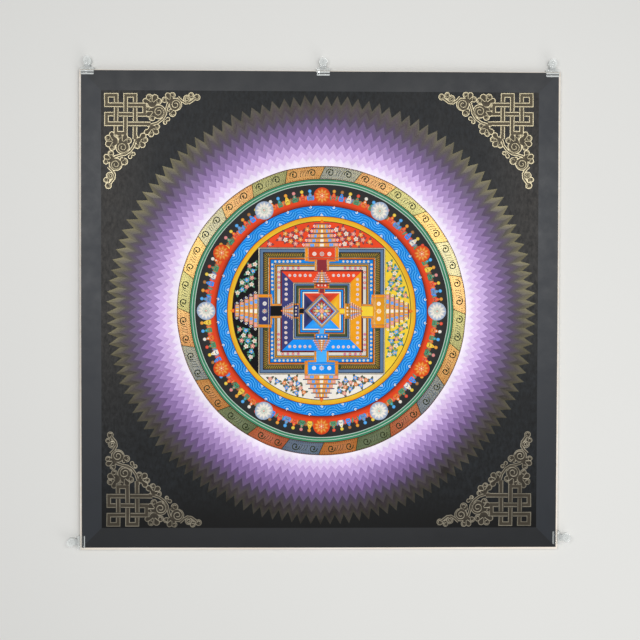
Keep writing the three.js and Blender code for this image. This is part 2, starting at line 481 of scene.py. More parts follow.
def ring_tree():
    """Copies of some motifs, taken in turn, set round the middle at even angles."""
    tree, given = new_tree(
        "ring of motifs", Motifs="Collection", Count="Int", Start="Float", Paint="Material")
    index = add_node(tree, "GeometryNodeInputIndex")
    step = calc(tree, "DIVIDE", math.tau, given["Count"])
    angle = calc(tree, "MULTIPLY_ADD", index, step, given["Start"])
    motifs = {"Collection": given["Motifs"], "Separate Children": True, "Reset Children": True}
    placed = add_node(tree, "GeometryNodeInstanceOnPoints", {
        "Points": add_node(tree, "GeometryNodePoints", {"Count": given["Count"]}),
        "Instance": add_node(tree, "GeometryNodeCollectionInfo", motifs),
        "Pick Instance": True,
        "Instance Index": index,
        "Rotation": add_node(tree, "ShaderNodeCombineXYZ", {"Z": angle}),
    })
    return end_tree(tree, placed, given["Paint"])


def hand_tree():
    """The slight wander of a hand-held brush: points stray sideways by a smooth noise."""
    tree, given = new_tree(
        "hand of the painter", Geometry="Geometry", Wobble="Float", Reach="Float", Paint="Material")
    vector = "ShaderNodeVectorMath"
    often = calc(tree, "DIVIDE", 1.0, given["Reach"])
    position = add_node(tree, "GeometryNodeInputPosition")
    values = {"Vector": position, "Scale": often, "Detail": 1.0}
    wander = add_node(tree, "ShaderNodeTexNoise", values, "Color")
    centred = calc(tree, "SUBTRACT", wander, (0.5, 0.5, 0.5), kind=vector)
    level = calc(tree, "MULTIPLY", centred, (4.0, 4.0, 0.0), kind=vector)
    stray = add_node(tree, vector, {0: level, "Scale": given["Wobble"]}, operation="SCALE")
    strayed = add_node(tree, "GeometryNodeSetPosition", {"Geometry": given["Geometry"], "Offset": stray})
    return end_tree(tree, strayed, given["Paint"])


def spring_tree():
    """A close-wound coil of round wire along X, about the origin."""
    tree, given = new_tree(
        "coiled spring", Turns="Float", Radius="Float", Wire="Float", Length="Float", Paint="Material")
    helix = add_node(tree, "GeometryNodeCurveSpiral", {
        "Resolution": 20, "Rotations": given["Turns"], "Start Radius": given["Radius"],
        "End Radius": given["Radius"], "Height": given["Length"]})
    section = add_node(tree, "GeometryNodeCurvePrimitiveCircle", {"Resolution": 8, "Radius": given["Wire"]})
    wire = add_node(tree, "GeometryNodeCurveToMesh", {
        "Curve": helix, "Profile Curve": section, "Fill Caps": True})
    back = add_node(tree, "ShaderNodeCombineXYZ", {"X": calc(tree, "MULTIPLY", given["Length"], -0.5)})
    laid = add_node(tree, "GeometryNodeTransform", {
        "Geometry": wire, "Translation": back, "Rotation": (0.0, math.pi / 2, 0.0)})
    return end_tree(tree, add_node(tree, "GeometryNodeSetShadeSmooth", {0: laid}), given["Paint"])


TREES = {"ring": ring_tree, "hand": hand_tree, "spring": spring_tree}


@functools.cache
def node_tree(name):
    """A tree by its short name, made once."""
    return TREES[name]()


def apply_tree(obj, name, **values):
    """Runs a tree on an object and keeps the result as the object's plain mesh."""
    tree = node_tree(name)
    nodes = obj.modifiers.new(tree.name, "NODES")
    nodes.node_group = tree
    sockets = {item.name: item.identifier for item in tree.interface.items_tree if item.in_out == "INPUT"}
    for label, value in values.items():
        nodes[sockets[label]] = value
    return keep_result(obj)


def keep_result(obj):
    """Makes what an object's modifiers give its plain mesh, and removes them."""
    bpy.context.view_layer.update()
    graph = bpy.context.evaluated_depsgraph_get()
    mesh = bpy.data.meshes.new_from_object(
        obj.evaluated_get(graph), preserve_all_data_layers=True, depsgraph=graph)
    obj.modifiers.clear()
    obj.data = mesh
    mesh.name = obj.name
    return obj


def new_object(name, data):
    obj = bpy.data.objects.new(name, data)
    bpy.context.scene.collection.objects.link(obj)
    return obj


# The surface of the canvas

# The soft unevenness of the border: the share of the canvas's half side where it begins, then each ripple's
# height, length in millimetres and place in the noise
UNEVEN_FROM = 0.75
RIPPLES = ((1.0, 55.0, 3.7), (0.5, 21.0, 9.1))


def clip_edge(name):
    """Which edge of the canvas a clip holds, and how far along it, in millimetres."""
    low, high = (Vector(corner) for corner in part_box(f"{name}_front"))
    away = ((low + high) / 2 - MIDDLE) / MM
    if abs(away.y) > abs(away.x):
        return "top", away.x
    return ("left" if away.x < 0 else "right"), away.y


def free_stretches():
    """The long stretches of edge that no clip holds, as (edge, start, end)."""
    low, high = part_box("clip_top_middle_front")
    jaw = (high[0] - low[0]) / 2 / MM
    held = {"top": [], "left": [], "right": []}
    for name in CLIP_NAMES:
        edge, along = clip_edge(name)
        held[edge].append(along)
    first, second, third = sorted(held["top"])
    return [
        ("top", first + jaw, second - jaw),
        ("top", second + jaw, third - jaw),
        ("left", held["left"][0] + jaw, HALF_SIDE),
        ("right", held["right"][0] + jaw, HALF_SIDE),
        ("bottom", -HALF_SIDE, HALF_SIDE),
    ]


STRETCHES = free_stretches()


def bow(x, y):
    """How far the cloth stands off the board at a point, in millimetres."""
    reach = size("bow_reach", "cloth")
    inward = {"top": HALF_SIDE - y, "bottom": HALF_SIDE + y, "left": HALF_SIDE + x, "right": HALF_SIDE - x}
    lift = 0.0
    for edge, start, end in STRETCHES:
        along = x if edge in ("top", "bottom") else y
        share = (along - start) / (end - start)
        depth = inward[edge] / reach
        if 0 < share < 1 and depth < 1:
            fade = (1 - depth) ** 2 * (1 + 2 * depth)
            lift += settings("cloth").bow_per_span * (end - start) * math.sin(math.pi * share) ** 2 * fade
    return lift


def face_height(x, y):
    """Height of the painted face at a point of the canvas, in millimetres above its lowest flat level."""
    near = max(0.0, (max(abs(x), abs(y)) / HALF_SIDE - UNEVEN_FROM) / (1 - UNEVEN_FROM))
    ripple = sum(high * noise.noise(Vector((x / span, y / span, place))) for high, span, place in RIPPLES)
    return bow(x, y) + size("wrinkle", "cloth") * near * ripple


def on_face(x, y, over):
    """A point of the picture in the frame, so many millimetres over the painted face."""
    level = CANVAS_LOW.z + settings("cloth").thickness
    return (MIDDLE.x + x * MM, MIDDLE.y + y * MM, level + (face_height(x, y) + over) * MM)


# Drawing

def polar(radius, degrees):
    return radius * math.cos(math.radians(degrees)), radius * math.sin(math.radians(degrees))


def moved(points, turn=0.0, shift=(0.0, 0.0)):
    """Points turned about the middle by so many degrees, then shifted."""
    c, s = polar(1.0, turn)
    return [(x * c - y * s + shift[0], x * s + y * c + shift[1]) for x, y in points]


def arc(x, y, radius, start, end, steps):
    """Points along an arc about (x, y), from one angle in degrees to another."""
    return moved([polar(radius, start + (end - start) * i / steps) for i in range(steps + 1)], shift=(x, y))


def circle(radius, steps=180):
    return [polar(radius, 360 * i / steps) for i in range(steps)]


def spiral(x, y, radius, turns, start, hand=1, steps=26, heart=0.22):
    """A scroll that winds in from its rim. hand is 1 anticlockwise or -1 clockwise."""
    return moved([polar(radius * (1 - (1 - heart) * i / steps), start + hand * 360 * turns * i / steps)
                  for i in range(steps + 1)], shift=(x, y))


def petal(base, tip, half_width, steps=8, point=2.6):
    """Outline of a lotus petal along +X: broad at the foot, full at the side and drawn to a point."""
    side = []
    for i in range(steps + 1):
        t = i / steps
        swell = (1 - t ** point) ** 0.8 * (0.82 + 0.18 * math.sin(math.pi * min(1.0, t / 0.75)))
        side.append((base + (tip - base) * t, -half_width * swell))
    return side + [(x, -y) for x, y in reversed(side[:-1])]


def oblong(x0, y0, x1, y1):
    return [(x0, y0), (x1, y0), (x1, y1), (x0, y1)]


def square(half, turn=0.0):
    return moved(oblong(-half, -half, half, half), turn)


def sideways(path, closed=False):
    """For each point of a path, the unit step to its left, up to twice as long at a corner, so that a stroke
    keeps its width."""
    count = len(path)
    steps = []
    for i in range(count):
        near = [Vector(path[k % count]) for k in (i - 1, i, i + 1) if closed or 0 <= k < count]
        ways = [(b - a).normalized() for a, b in zip(near, near[1:]) if (b - a).length > TINY]
        mean = sum(ways, Vector((0.0, 0.0)))
        mean = mean.normalized() if mean.length > TINY else ways[0]
        steps.append(Vector((-mean.y, mean.x)) * (1.0 / max(0.5, mean.dot(ways[0]))))
    return steps


def beside(path, distance, closed=False):
    """A path that runs beside another, to its left."""
    steps = sideways(path, closed)
    return [(x + step.x * distance, y + step.y * distance) for (x, y), step in zip(path, steps)]


def ramp(value, low, high):
    """Rises smoothly from 0 at low to 1 at high."""
    share = min(1.0, max(0.0, (value - low) / (high - low)))
    return share * share * (3 - 2 * share)


# How far one stroke of a film lies over the last, how many strokes rise before the next starts at its foot
# again, and the height of a line of gold paint, in millimetres
HAIR = 0.002
STROKES_DEEP = 16
RIDGE = 0.07


class Film:
    """One coat of paint: flat shapes in millimetres, each in its own colour."""

    def __init__(self):
        self.points = []
        self.colours = []
        self.faces = []
        self.strokes = 0

    def add(self, points, colours, faces):
        """Adds a shape, a hair above the one before, as one brush stroke lies over another."""
        first = len(self.points)
        hair = HAIR * (self.strokes % STROKES_DEEP)
        self.strokes += 1
        self.points += [(x, y, z + hair) for x, y, z in points]
        self.colours += list(colours)
        self.faces += [tuple(first + i for i in face) for face in faces]

    def shape(self, outline, tone, heart=None):
        """A filled outline. With a heart colour it is shaded from its middle to its rim."""
        doubled = sum(a[0] * b[1] - b[0] * a[1] for a, b in zip(outline, outline[1:] + outline[:1]))
        rim = [(x, y, 0.0) for x, y in (outline if doubled > 0 else reversed(outline))]
        count = len(rim)
        if heart is None:
            self.add(rim, [tone] * count, [range(count)])
            return
        middle = tuple(sum(c) / count for c in zip(*rim))
        faces = [(i, (i + 1) % count, count) for i in range(count)]
        self.add([*rim, middle], [tone] * count + [heart], faces)

    def dot(self, x, y, radius, tone, heart=None, sides=10):
        self.shape(arc(x, y, radius, 0, 360 - 360 / sides, sides - 1), tone, heart)

    def strip(self, lines, tones, closed=False, ridge=0.0):
        """Bands between lines of points, from the left hand of the way along to the right, each line in its
        own colour. A ridge lifts the lines between the first and the last."""
        count, bands = len(lines[0]), len(lines) - 1
        points = [(x, y, ridge if 0 < k < bands else 0.0) for k, line in enumerate(lines) for x, y in line]
        faces = []
        for i in range(count if closed else count - 1):
            j = (i + 1) % count
            for k in range(0, bands * count, count):
                faces.append((k + i, k + count + i, k + count + j, k + j))
        self.add(points, [tone for tone in tones for _ in range(count)], faces)

    def ring(self, inner, outer, tones):
        self.strip((circle(inner), circle(outer)), tones, closed=True)

    def stroke(self, path, width, tone, closed=False, ridge=0.0):
        """A brush line of even width. With a ridge its middle stands up a little."""
        left, right = (beside(path, hand * width / 2, closed) for hand in (1, -1))
        lines = (left, path, right) if ridge else (left, right)
        self.strip(lines, [tone] * len(lines), closed, ridge)

    def gild(self, path, width, closed=False):
        """A raised line of gold paint."""
        self.stroke(path, width, colour("gold"), closed, RIDGE)

    def put(self, other, turn=0.0, shift=(0.0, 0.0), scale=1.0):
        """A copy of another film's shapes, scaled, turned in degrees and shifted."""
        placed = moved([(x * scale, y * scale) for x, y, _ in other.points], turn, shift)
        points = [(x, y, point[2]) for (x, y), point in zip(placed, other.points)]
        self.add(points, other.colours, other.faces)

    def crowd(self, share, towards):
        """Draws the shapes that stand round the middle closer together towards an angle in degrees."""
        turned = []
        for x, y, z in self.points:
            angle = math.degrees(math.atan2(y, x))
            angle -= math.degrees(share) * math.sin(math.radians(angle - towards))
            turned.append((*polar(math.hypot(x, y), angle), z))
        self.points = turned

    def mesh(self, name, scale=1.0):
        """The film as a mesh, with its colours in the attribute that the paint reads."""
        made = bpy.data.meshes.new(name)
        made.from_pydata([(x * scale, y * scale, z * scale) for x, y, z in self.points], [], self.faces)
        tones = made.color_attributes.new("paint", "FLOAT_COLOR", "POINT")
        tones.data.foreach_set("color", [c for tone in self.colours for c in (*tone, 1.0)])
        return made

    def take(self, mesh):
        """Adds the shapes of a mesh that a tree has made."""
        tones = mesh.attributes["paint"].data
        self.add([tuple(v.co) for v in mesh.vertices], [tuple(t.color[:3]) for t in tones],
                 [tuple(face.vertices) for face in mesh.polygons])

    def round(self, motifs, count, start=90.0):
        """Sets motifs, drawn along +X, round the middle by turns."""
        group = bpy.data.collections.new("motifs in hand")
        drawn = []
        for i, motif in enumerate(motifs):
            drawn.append(bpy.data.objects.new(f"motif {i:02d}", motif.mesh("motif")))
            group.objects.link(drawn[-1])
        carrier = new_object("ring in hand", bpy.data.meshes.new("ring in hand"))
        apply_tree(carrier, "ring", Motifs=group, Count=count, Start=math.radians(start),
                   Paint=material("pigment"))
        self.take(carrier.data)
        for obj in [carrier, *drawn]:
            bpy.data.objects.remove(obj)
        bpy.data.collections.remove(group)


def films(count):
    return [Film() for _ in range(count)]


def lay(name, film, coat, paint="matt", stray=1.0, reach=38, middle=None):
    """Lays a film on the canvas as a piece: drawn by hand, following the cloth, so many coats up. Lines stray
    more or less than usual, and turn every so many millimetres. Its middle is the round picture's unless
    one is given."""
    obj = new_object(name, film.mesh(name, MM))
    layout = settings("layout")
    apply_tree(obj, "hand", Wobble=layout.wobble * stray, Reach=reach * MM, Paint=material(paint))
    mesh = obj.data
    right, up = middle or (size("right"), -size("down"))
    for vertex in mesh.vertices:
        x, y, raised = (c / MM for c in vertex.co)
        vertex.co = on_face(x + right, y + up, coat * layout.coat / MM + raised)
    flat_map(mesh)
    mesh.update()
    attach(obj, BODY)
    return obj


def flat_map(mesh):
    """A map seen straight from above, so that a baked picture of the paint stays in one piece."""
    spots = [mesh.vertices[loop.vertex_index].co.xy for loop in mesh.loops]
    low, high = (Vector(limit(spot[k] for spot in spots) for k in (0, 1)) for limit in (min, max))
    span = max(high - low) * 1.02
    start = (low + high) / 2 - Vector((span, span)) / 2
    layer = mesh.uv_layers.new(name="OFBake")
    layer.data.foreach_set("uv", [(spot[k] - start[k]) / span for spot in spots for k in (0, 1)])


# The canvas and its dark ground

# The strips of the border meet in mitres. The top and bottom strips are painted darker than the sides as
# painted shade, the bottom most, where less light falls.
BORDER_SHADE = {"side": 1.0, "top": 0.6, "bottom": 0.36}
# Where painted sheen lightens the dark field, outwards and upwards from its middle, with the lean of the
# second from left to right, and where painted shade darkens it along its foot, with how deep it gets
SHEEN_OUT, SHEEN_UP, SHEEN_LEAN = (195, 265), (-180, 75), 0.19
FOOT_SHADE, FOOT_SHADE_DEPTH = (205, 272), 0.92


def field_tone(x, y):
    """The dark field's colour at a spot: lighter and warmer up its sides as painted sheen, darkest along its
    foot as painted shade.
    """
    # Painted sheen lightens and warms the field up its sides, and painted shade darkens it along its foot
    painted_sheen = ramp(abs(x), *SHEEN_OUT) * ramp(y - SHEEN_LEAN * x, *SHEEN_UP)
    foot = ramp(-y, *FOOT_SHADE)
    return tuple((plain + (tone_part - plain) * painted_sheen) * (1 - FOOT_SHADE_DEPTH * foot)
                 for plain, tone_part in zip(colour("charcoal"), colour("painted_sheen")))


class PAINTING_OT_canvas(bpy.types.Operator):
    """The sheet of canvas with its plain border and dark field"""
    bl_idname = "painting.canvas"
    bl_label = "Canvas"

    def execute(self, context):
        cell = size("cell", "cloth")
        count = round(2 * HALF_SIDE / cell)
        lines = [-HALF_SIDE + cell * i for i in range(count + 1)]
        grid = [(x, y) for y in lines for x in lines]
        faces = []
        for i in range(count):
            for j in range(count):
                a = i * (count + 1) + j
                b, c, d = a + 1, a + count + 2, a + count + 1
                # A cell on a diagonal is cut along it, so that the border's mitres run straight
                if i == j:
                    faces += [(a, b, c), (a, c, d)]
                elif i + j == count - 1:
                    faces += [(a, b, d), (b, c, d)]
                else:
                    faces.append((a, b, c, d))
        mesh = bpy.data.meshes.new("canvas_sheet")
        mesh.from_pydata([on_face(x, y, 0.0) for x, y in grid], [], faces)
        mesh.polygons.foreach_set("use_smooth", [True] * len(faces))
        inside = HALF_SIDE - size("border", "cloth")
        tones = mesh.color_attributes.new("paint", "FLOAT_COLOR", "CORNER")
        field = [field_tone(x, y) for x, y in grid]
        for face in mesh.polygons:
            x, y = ((face.center[k] - MIDDLE[k]) / MM for k in (0, 1))
            border = None
            if max(abs(x), abs(y)) > inside:
                strip = "side" if abs(x) > abs(y) else "top" if y > 0 else "bottom"
                # Painted shade: the top and bottom strips of the border are darker than the sides
                border = colour("slate", BORDER_SHADE[strip])
                face.material_index = 1
            for loop, vertex in zip(face.loop_indices, face.vertices):
                tones.data[loop].color = (*(border or field[vertex]), 1.0)
        flat_map(mesh)
        obj = new_object("canvas_sheet", mesh)
        for name in ("soot", "pigment", "cotton", "cotton"):
            mesh.materials.append(material(name))
        wall = obj.modifiers.new("thickness", "SOLIDIFY")
        wall.thickness = settings("cloth").thickness
        wall.offset = -1.0
        wall.material_offset = 2
        wall.material_offset_rim = 2
        keep_result(obj)
        obj.data.set_sharp_from_angle(angle=math.radians(35))
        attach(obj, BODY)
        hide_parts("canvas")
        return {"FINISHED"}


# The halo

RAYS = 131
# One row of rays: the radius of its tips as a share of the way from the disc to the halo's edge, the depth of
# its notches in millimetres, its colours at its tips and where the next row begins, and its paint
HALO_ROWS = (
    (1.000, 12.4, "#46433b", "#423b41", "glazed"),
    (0.834, 9.8, "#484242", "#483955", "gilded"),
    (0.693, 8.9, "#5e4b70", "#63447d", "pigment"),
    (0.572, 9.9, "#886aa2", "#8565a2", "pigment"),
    (0.445, 8.3, "#a685c1", "#a07fbb", "pigment"),
    (0.334, 8.1, "#ccade5", "#c7a7dc", "pigment"),
    (0.222, 6.3, "#e3c6f4", "#ddc5ee", "pigment"),
    (0.127, 5.4, "#ecdcfa", "#fdf6ff", "pigment"),
)
HALO_PIECES = (("halo_rays", "pigment"), ("halo_dusky_rays", "gilded"), ("halo_last_rays", "glazed"))
# How far the halo runs in under the round picture
UNDERLAP = 1.0
# The rays stand closer together towards the lower right than opposite, as they were set out by eye
CROWDED, CROWDED_TOWARDS = 0.05, 293.0
# Painted sheen on the last row: its colours where the gold catches the light, at its tips and where the next
# row begins, then the lightness of a ray's half that faces down and of its half that faces up, the upper half
# painted lighter as painted highlight, and the seed of that lightness
GOLD_SHEEN = ("#4f4b3a", "#403d3b")
GOLD_HALF_HIGHLIGHT = ((0.75, 1.0), (1.0, 1.35))
GOLD_SHEEN_SEED = 131
# Where the painted gold sheen lies, out to the sides and upwards, as shares of the radius
GOLD_SHEEN_OUT, GOLD_SHEEN_UP = (0.3, 0.8), (-0.95, 0.1)


def two_thirds(start, end):
    """Two thirds of the way from one point or colour to another."""
    return tuple((a + 2 * b) / 3 for a, b in zip(start, end))


class PAINTING_OT_halo(bpy.types.Operator):
    """Rows of pointed rays that shade from white by lavender and purple to the dark field"""
    bl_idname = "painting.halo"
    bl_label = "Halo"

    def execute(self, context):
        disc, edge = sizes("disc", "halo_tip")
        half = 180 / RAYS
        ends = [(disc + (edge - disc) * share, depth) for share, depth, *_ in HALO_ROWS]
        ends.append((disc - UNDERLAP, 0.0))
        lines = [[polar(tip - depth, -half), polar(tip, 0), polar(tip - depth, half)] for tip, depth in ends]
        rows = {paint: Film() for *_, paint in HALO_ROWS}
        for outer, inner, (_, _, light, dark, paint) in zip(lines, lines[1:], HALO_ROWS):
            tones = linear(light), linear(dark)
            halves = self.painted_gold_sheen(*tones) if paint == "glazed" else [[tones] * 2]
            rows[paint].round([self.ray(outer, inner, pair) for pair in halves], RAYS)
        for name, paint in HALO_PIECES:
            rows[paint].crowd(CROWDED, CROWDED_TOWARDS)
            lay(name, rows[paint], 1, paint, stray=2.8, reach=16)
        return {"FINISHED"}

    def ray(self, outer, inner, halves):
        """A ray along +X. Each half has its own colours, at its tip and where the next row begins."""
        drawn = Film()
        for i, (light, dark) in enumerate(halves):
            edge, root = outer[i:i + 2], inner[i:i + 2]
            between = [two_thirds(*ends) for ends in zip(edge, root)]
            deep = two_thirds(light, dark)
            drawn.strip((between, edge), (deep, light))
            drawn.strip((root, between), (dark, deep))
        return drawn

    def painted_gold_sheen(self, light, dark):
        """The last row's colours by ray and half, with painted sheen: gold at the sides and upwards, bare
        elsewhere.
        """
        brush = random.Random(GOLD_SHEEN_SEED)
        tones = []
        for i in range(RAYS):
            side, up = polar(1.0, 90 + 360 * i / RAYS)
            # Painted sheen: the share of gold on this ray, most at the sides and upwards, where light catches
            # it
            left = ramp(abs(side), *GOLD_SHEEN_OUT) * ramp(up, *GOLD_SHEEN_UP)
            halves = []
            for hand in (-1, 1):
                # Painted highlight: the half of the ray that faces up is lighter than the half that faces
                # down
                shine = brush.uniform(*GOLD_HALF_HIGHLIGHT[hand * side > 0])
                halves.append([
                    tuple(bare + (gold * shine - bare) * left for bare, gold in zip(tone_part, linear(gold_sheen_hex)))
                    for tone_part, gold_sheen_hex in zip((light, dark), GOLD_SHEEN)])
            tones.append(halves)
        return tones


# The rings

# Width of a drawn line in millimetres
INK = 0.8
SEGMENTS = 24
SEGMENT_PIGMENTS = ("saffron", "pine", "madder", "smalt")
# How far the outer end of a cut between two segments lies clockwise of its inner end, in degrees
SLANT = 2.3
# The rows of dots in a segment: the place of a row across the band, and its shift along it in steps of a dot
SEGMENT_DOTS = ((0.1, 0.5), (0.3, 0.1), (0.72, 0.9), (0.92, 0.5))
BUDS = 92
# The pigments of each bud's flower, calyx and leaves
BUD_PIGMENTS = (
    ("amber", "coral", "leaf"), ("sky", "steel", "azure"), ("lemon", "coral", "orange"),
    ("rose", "leaf", "moss"), ("amber", "lemon", "ochre"), ("sky", "leaf", "orange"),
    ("chalk", "orange", "coral"), ("coral", "leaf", "sage"), ("lemon", "chalk", "steel"),
    ("ochre", "azure", "coral"),
)
EMBLEMS = 12
# The two emblems, an orange lotus and a white rosette: the radius of the base with its colours at the rim and
# the middle, then the outer and the inner flower
EMBLEM_KINDS = (
    (10.4, ("coral", 0.8), ("orange",), (10, 9.6, 0.4, ("orange", 0.85), ("amber", 1.1), ("lemon",)),
     (6, 4.4, 0.3, ("coral",), ("amber", 1.3))),
    (11.6, ("steel", 1.2), ("chalk",), (12, 10.6, 0.42, ("chalk", 0.86), ("chalk",), ("coral",)),
     (8, 5.0, 0.3, ("leaf", 1.35), ("chalk",))),
)
WAVES = 28
# The garden's quarters: the angle of each, its ground, its flowers and its leaves
QUARTERS = (
    (0, "lemon", ("chalk", "sky", "rose"), "leaf"),
    (90, "coral", ("chalk", "rose", "amber"), "wine"),
    (180, "night", ("rose", "sky", "chalk"), "leaf"),
    (270, "chalk", ("azure", "rose", "orange"), "moss"),
)
# Flowers over the whole round of the garden, before those in the way of the palace and its roofs are left out
FLOWERS = 700
GOLDEN_ANGLE = 137.508
# How far a flower keeps from the palace and from the gold ring
OFF_PALACE, OFF_RING = 4.6, 4.2
# Half the width of a roof with room round it, and how fast it narrows
ROOF_HALF, ROOF_TAPER = 28.0, 0.62


def scroll_motifs(pigment_name):
    """A length of the outer band, cut aslant: its ground, and the curls, dashes and dots on it in ink."""
    inner, outer = sizes("scrolls", "disc")

    def spot(along, out):
        """A place in the length, from -1 to 1 between its ends and from 0 to 1 across it."""
        return polar(inner + (outer - inner) * out, along * 180 / SEGMENTS - SLANT * (out - 0.5))

    ground, ink = films(2)
    ways = [k / 3 for k in range(-3, 4)]
    outline = [spot(k, 0) for k in ways] + [spot(-k, 1) for k in ways]
    ground.shape(outline, *shades(pigment_name, 0.85, 1.06))
    dark = colour("moss", 0.3)
    ink.stroke([spot(-1, 0), spot(-1, 1)], INK, dark)
    for along in (-0.45, 0.55):
        curl = spiral(*spot(along, 0.5), 5.2, 1.15, 100, -1, heart=0.3)
        ink.stroke(curl, 1.4 * INK, dark)
        ink.dot(*curl[-1], 1.3, dark)
    for along in (-0.14, 0.02, 0.16):
        ink.stroke([spot(along, 0.3), spot(along + 0.03, 0.5), spot(along, 0.7)], 0.7 * INK, dark)
    for k in range(-8, 8):
        for out, shift in SEGMENT_DOTS:
            ink.dot(*spot((k + shift) / 8, out), 0.5, dark, sides=5)
    return ground, ink


def bud_motifs(flower, calyx, leaf):
    """A small flower that stands across the red and dark rings: leaves, a calyx and a crown, then its eye."""
    foot = size("night") - 6.0
    body, eye = films(2)
    for hand in (1, -1):
        blade = moved(petal(0, 7.4, 2.1, steps=4), 34 * hand, (foot + 0.6, hand * 1.6))
        body.shape(blade, *shades(leaf, 0.75, 1.15))
    body.shape(moved(petal(0, 10.4, 3.0, steps=6, point=3.4), 0, (foot, 0)), *shades(calyx, 0.9, 1.1))
    body.dot(foot + 11.6, 0, 2.2, *shades(flower, 0.8, 1.1), sides=9)
    eye.stroke([(foot + 2.6, -2.0), (foot + 4.0, 0), (foot + 2.6, 2.0)], INK, colour(leaf, 0.5))
    eye.dot(foot + 7.2, 0, 1.0, colour(flower, 0.9), sides=6)
    return body, eye


def wave_motif(radius, way, sweep):
    """Crests and troughs about a curl of foam on the edge of the water: way is 1 outwards or -1 inwards."""
    film = Film()
    reach = size("coral") - size("water")
    middle = 0 if way > 0 else 180
    for k in range(8):
        path = arc(radius, 0, reach * (0.16 + 0.11 * k), middle - sweep, middle + sweep, 12)
        film.stroke(path, 0.75, colour("azure", 0.6) if k % 2 else colour("sky", 1.15 - 0.03 * k))
    film.stroke(spiral(radius + way * 1.6, 0, 1.7, 1.0, 0, way, steps=10), 0.7, colour("chalk"))
    return film


def rosette(petals, radius, heart_share, rim, light, heart=("amber",), steps=5):
    """A flower of even petals about its own middle, as its petals and its heart. A colour is given as a
    pigment and its light."""
    body, middle = films(2)
    half = math.pi * radius * 0.62 / petals
    for i in range(petals):
        outline = moved(petal(radius * heart_share * 0.8, radius, half, steps=steps), 360 * i / petals)
        body.shape(outline, colour(*rim), colour(*light))
    middle.dot(0, 0, radius * heart_share, colour(*heart), colour("chalk"))
    return body, middle


def emblem_motifs(radius, rim, light, outer, inner):
    """A round emblem on the dark and red rings: its base, its petals and its heart."""
    spot = (size("night") - 0.5, 0.0)
    base, body, heart = films(3)
    base.dot(*spot, radius, colour(*rim), colour(*light), sides=24)
    petals, eye = rosette(*outer)
    body.put(petals, shift=spot)
    heart.put(rosette(*inner)[0], shift=spot)
    heart.put(eye, shift=spot, scale=0.4)
    return base, body, heart


def garden_spots():
    """Places for flowers in an even scatter between the palace, its roofs and the gold ring."""
    palace, edge = size("palace") + OFF_PALACE, size("garden") - OFF_RING
    spots = []
    for n in range(FLOWERS):
        x, y = polar(edge * math.sqrt((n + 0.5) / FLOWERS), n * GOLDEN_ANGLE)
        near, far = sorted((abs(x), abs(y)))
        if far > palace and near > ROOF_HALF - ROOF_TAPER * (far - palace):
            spots.append((x, y, n))
    return spots


class PAINTING_OT_rings(bpy.types.Operator):
    """The round picture from its band of scrolls in to the garden"""
    bl_idname = "painting.rings"
    bl_label = "Rings"

    def execute(self, context):
        disc, scrolls, green, night, coral, water, garden = sizes(
            "disc", "scrolls", "green", "night", "coral", "water", "garden")
        band, ground, motifs, details, linework, crest, hearts = films(7)

        shade = coral + 0.35 * (night - coral)
        for inner, outer, tones in (
                (green, scrolls, shades("leaf", 0.8, 0.95)),
                # The dark ring's ground is night lightened a little, as painted sheen on the black
                (night, green, shades("night", 1.026, 1.02)),
                (coral, shade, shades("coral", 0.3, 0.9)),
                (shade, night, shades("coral", 0.9, 1.0)),
                (water, coral, shades("azure", 1.0, 0.9)),
                (garden, water, (colour("lemon", 0.9), colour("amber")))):
            ground.ring(inner, outer, tones)
        for middle, name, _, _ in QUARTERS:
            ground.shape([(0, 0), *arc(0, 0, garden, middle - 45, middle + 45, 45)], colour(name))

        lengths, inks = zip(*(scroll_motifs(name) for name in SEGMENT_PIGMENTS))
        bodies, eyes = zip(*(bud_motifs(*names) for names in BUD_PIGMENTS))
        for film, drawn, count in (
                (band, lengths, SEGMENTS), (linework, inks, SEGMENTS),
                (motifs, bodies, BUDS), (details, eyes, BUDS)):
            film.round(drawn, count, 90 + 180 / count)
        motifs.round([wave_motif(water, 1, 82)], WAVES)
        details.round([wave_motif(coral, -1, 62)], WAVES, 90 + 180 / WAVES)

        for x, y, n in garden_spots():
            angle = math.atan2(y, x)
            _, _, names, leaf = max(QUARTERS, key=lambda quarter: math.cos(angle - math.radians(quarter[0])))
            for k in range(3):
                blade = moved(petal(2.2, 6.0, 1.6, steps=4), n * 47 + 120 * k, (x, y))
                motifs.shape(blade, *shades(leaf, 0.6, 1.1))
            name = names[n % len(names)]
            petals, heart = rosette(5, 3.2, 0.45, (name, 0.85), (name, 1.2), steps=3)
            details.put(petals, n * 31, (x, y))
            linework.put(heart, 0, (x, y), 0.8)

        emblems = zip(*(emblem_motifs(*kind) for kind in EMBLEM_KINDS))
        for film, drawn in zip((linework, crest, hearts), emblems):
            film.round(drawn, EMBLEMS)

        for radius in (green + 0.6, green + 0.55 * (scrolls - green)):
            details.stroke(circle(radius), 0.9, colour("leaf", 1.5), closed=True)
        for radius in (disc, scrolls, coral, water, garden):
            details.stroke(circle(radius), INK, colour("wine", 0.3), closed=True)

        lay("scroll_band", band, 2, "dusted")
        lay("ring_grounds", ground, 1)
        lay("ring_motifs", motifs, 2)
        lay("ring_details", details, 3)
        lay("ring_linework", linework, 4)
        lay("emblem_petals", crest, 5)
        lay("emblem_hearts", hearts, 6)
        return {"FINISHED"}


# The palace

